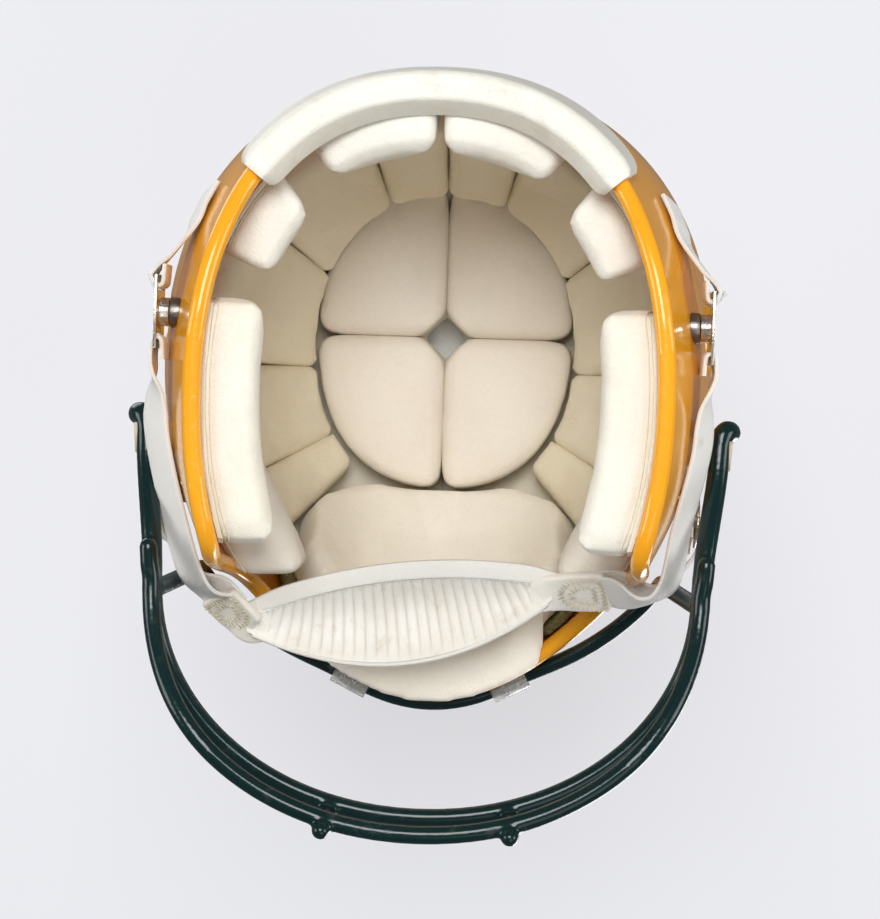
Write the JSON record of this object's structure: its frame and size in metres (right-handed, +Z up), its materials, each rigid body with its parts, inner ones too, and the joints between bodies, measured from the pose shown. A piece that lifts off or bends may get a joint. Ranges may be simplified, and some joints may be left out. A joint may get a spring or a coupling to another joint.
{
  "type": "american football helmet",
  "caption": "Adult American football helmet: moulded shell with a rolled rim, wire face mask, neck bumper, fitted padding and a chin strap on press studs, stowed inside the face opening.",
  "frame": {"origin": "middle of the bounding box in plan, on the level of the jaw flaps' lower edges", "axes": "+Z up through the crown, -Y the way the face looks, +X the wearer's left"},
  "size_m": [0.2658, 0.3366, 0.255],
  "materials": {
    "yellow_shell": "glossy golden yellow",
    "white_vinyl": "satin white",
    "cream_pad": "soft cream vinyl over foam",
    "grey_liner": "matte grey",
    "olive_foam": "open foam",
    "green_coating": "glossy dark green plastic coating",
    "clear_plastic": "translucent",
    "tan_plastic": "satin tan",
    "bright_metal": "plated",
    "white_web": "woven"
  },
  "bodies": {
    "helmet": {"back_cell_left": "cream_pad", "back_cell_right": "cream_pad", "brow_clip_left": "clear_plastic", "brow_clip_right": "clear_plastic", "brow_screw_left": "bright_metal", "brow_screw_right": "bright_metal", "crown_base": "grey_liner", "crown_pad_front_left": "cream_pad", "crown_pad_front_right": "cream_pad", "crown_pad_rear_left": "cream_pad", "crown_pad_rear_right": "cream_pad", "facemask": "green_coating", "forehead_backing": "olive_foam", "forehead_pad": "cream_pad", "front_cell_left": "cream_pad", "front_cell_right": "cream_pad", "front_strap_left": "white_web", "front_strap_right": "white_web", "front_stud_left": "bright_metal", "front_stud_right": "bright_metal", "front_tail_left": "white_web", "front_tail_right": "white_web", "nape_pad_left": "cream_pad", "nape_pad_right": "cream_pad", "neck_backing_left": "white_vinyl", "neck_backing_right": "white_vinyl", "neck_side_pad_left": "cream_pad", "neck_side_pad_right": "cream_pad", "rear_bumper": "white_vinyl", "rear_cell_left": "cream_pad", "rear_cell_right": "cream_pad", "rear_stud_left": "bright_metal", "rear_stud_right": "bright_metal", "rear_tail_left": "white_web", "rear_tail_right": "white_web", "shell": "yellow_shell", "side_cell_front_left": "cream_pad", "side_cell_front_right": "cream_pad", "side_cell_rear_left": "cream_pad", "side_cell_rear_right": "cream_pad", "side_clip_left": "tan_plastic", "side_clip_right": "tan_plastic", "side_screw_left": "bright_metal", "side_screw_right": "bright_metal", "temple_pad_left": "cream_pad", "temple_pad_right": "cream_pad"},
    "chin_cup": {"chin_cup_liner": "white_vinyl", "chin_cup_shell": "white_vinyl", "cup_binding": "white_vinyl", "rear_buckle_left": "bright_metal", "rear_buckle_right": "bright_metal", "rear_strap_left": "white_web", "rear_strap_right": "white_web"},
    "front_buckle_left": {"front_buckle_left": "bright_metal"},
    "jaw_pad_left": {"jaw_backing_left": "white_vinyl", "jaw_pad_left": "cream_pad"},
    "front_buckle_right": {"front_buckle_right": "bright_metal"},
    "jaw_pad_right": {"jaw_backing_right": "white_vinyl", "jaw_pad_right": "cream_pad"}
  },
  "joints": [
    {"name": "chin_cup_swing", "type": "hinge", "parent": "helmet", "child": "chin_cup", "pos_m": [0, 0.05435, 0.046], "axis": [1, 0, 0], "range_deg": [0, 22], "deforming": ["front_strap_left", "front_strap_right", "front_tail_left", "front_tail_right", "rear_tail_left", "rear_tail_right"]},
    {"name": "front_buckle_left_turn", "type": "hinge", "parent": "helmet", "child": "front_buckle_left", "pos_m": [0, -0.02365, 0.092], "axis": [1, 0, 0], "range_deg": [0, 40]},
    {"name": "front_buckle_right_turn", "type": "hinge", "parent": "helmet", "child": "front_buckle_right", "pos_m": [0, -0.02365, 0.092], "axis": [1, 0, 0], "range_deg": [0, 40]},
    {"name": "jaw_pad_left_pull", "type": "slide", "parent": "helmet", "child": "jaw_pad_left", "axis": [-1, 0, 0], "range_m": [0, 0.02]},
    {"name": "jaw_pad_right_pull", "type": "slide", "parent": "helmet", "child": "jaw_pad_right", "axis": [1, 0, 0], "range_m": [0, 0.02]}
  ],
  "couplings": [
    {"joint": "front_buckle_left_turn", "follows": "chin_cup_swing", "ratio": 1.5},
    {"joint": "front_buckle_right_turn", "follows": "chin_cup_swing", "ratio": 1.5}
  ]
}
